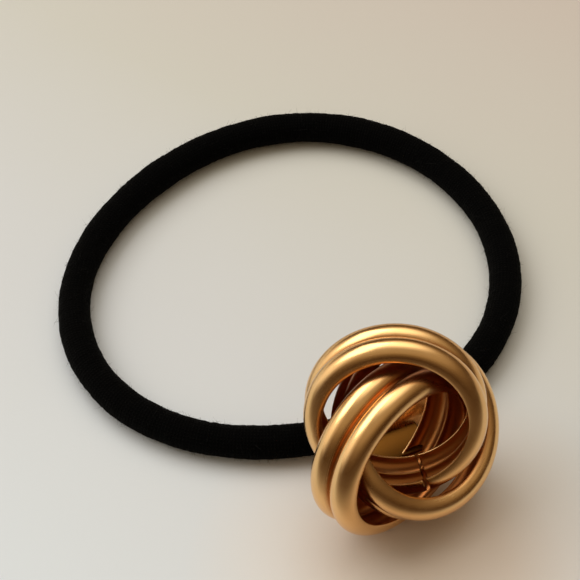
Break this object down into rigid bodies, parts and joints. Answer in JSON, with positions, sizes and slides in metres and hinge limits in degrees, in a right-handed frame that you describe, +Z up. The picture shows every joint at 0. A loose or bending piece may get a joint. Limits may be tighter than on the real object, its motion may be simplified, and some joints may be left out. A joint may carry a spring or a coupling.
{
  "type": "hair tie",
  "caption": "Round black elastic hair loop with a gold knot of interlocked ribbed rings held on it by a plain metal sleeve.",
  "frame": {"origin": "middle of the footprint, at the height of the surface that the hair tie lies on", "axes": "+Z up out of the loop; -Y towards the knot; the loop lies in the X-Y plane"},
  "size_m": [0.0658, 0.0749, 0.0268],
  "materials": {
    "elastic_cord": "fine knitted cover, matt black with a faint sheen",
    "gold_metal": "polished warm gold plating with fine lengthwise drawing lines"
  },
  "bodies": {
    "root": {"elastic": "elastic_cord", "knot_ring_upper": "gold_metal", "knot_ring_left": "gold_metal", "knot_ring_lower": "gold_metal"}
  },
  "joints": []
}
